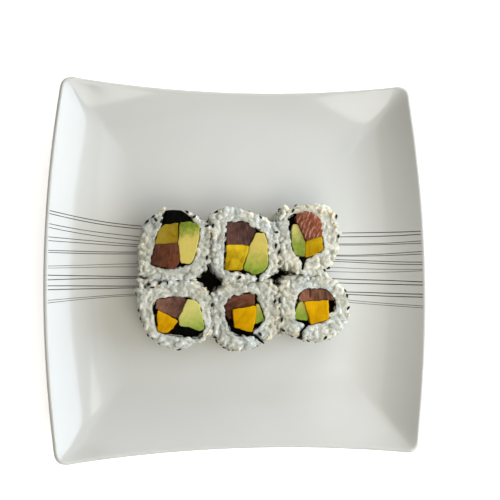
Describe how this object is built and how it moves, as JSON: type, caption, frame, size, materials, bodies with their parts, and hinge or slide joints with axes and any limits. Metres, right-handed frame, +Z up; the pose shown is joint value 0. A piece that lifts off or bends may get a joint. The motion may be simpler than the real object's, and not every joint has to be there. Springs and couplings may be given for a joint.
{
  "type": "plate of maki sushi rolls",
  "caption": "Square porcelain plate with inside-out maki standing on it, cut face up: rice and sesame outside, nori round tuna, mango and avocado.",
  "frame": {"origin": "centre of the plate on the surface it stands on, at the bottom of its foot ring", "axes": "+Z up; +Y from the near edge to the far edge, which is up in the picture; +X to the right"},
  "size_m": [0.25, 0.2454, 0.0384],
  "materials": {
    "porcelain": "gloss white glaze with thin wavy grey lines drawn across it in pairs",
    "rice": "moist, sticky cooked rice, soft gloss",
    "nori": "damp dried seaweed, crinkled, faint sheen",
    "tuna": "moist raw fish with fibres and pale lines",
    "mango": "wet ripe fruit, smooth cut",
    "avocado": "buttery flesh, green at the skin side and yellow inside",
    "black_sesame": "black seed, faint sheen",
    "tan_sesame": "toasted seed, faint sheen"
  },
  "bodies": {
    "root": {"plate": "porcelain", "rice_1": "rice", "nori_1": "nori", "tuna_1": "tuna", "mango_1": "mango", "avocado_1": "avocado", "rice_2": "rice", "nori_2": "nori", "tuna_2": "tuna", "mango_2": "mango", "avocado_2": "avocado", "rice_3": "rice", "nori_3": "nori", "tuna_3": "tuna", "mango_3": "mango", "avocado_3": "avocado", "rice_4": "rice", "nori_4": "nori", "tuna_4": "tuna", "mango_4": "mango", "avocado_4": "avocado", "rice_5": "rice", "nori_5": "nori", "tuna_5": "tuna", "mango_5": "mango", "avocado_5": "avocado", "rice_6": "rice", "nori_6": "nori", "tuna_6": "tuna", "mango_6": "mango", "avocado_6": "avocado", "nori_scrap_1": "nori", "nori_scrap_2": "nori"}
  },
  "joints": []
}
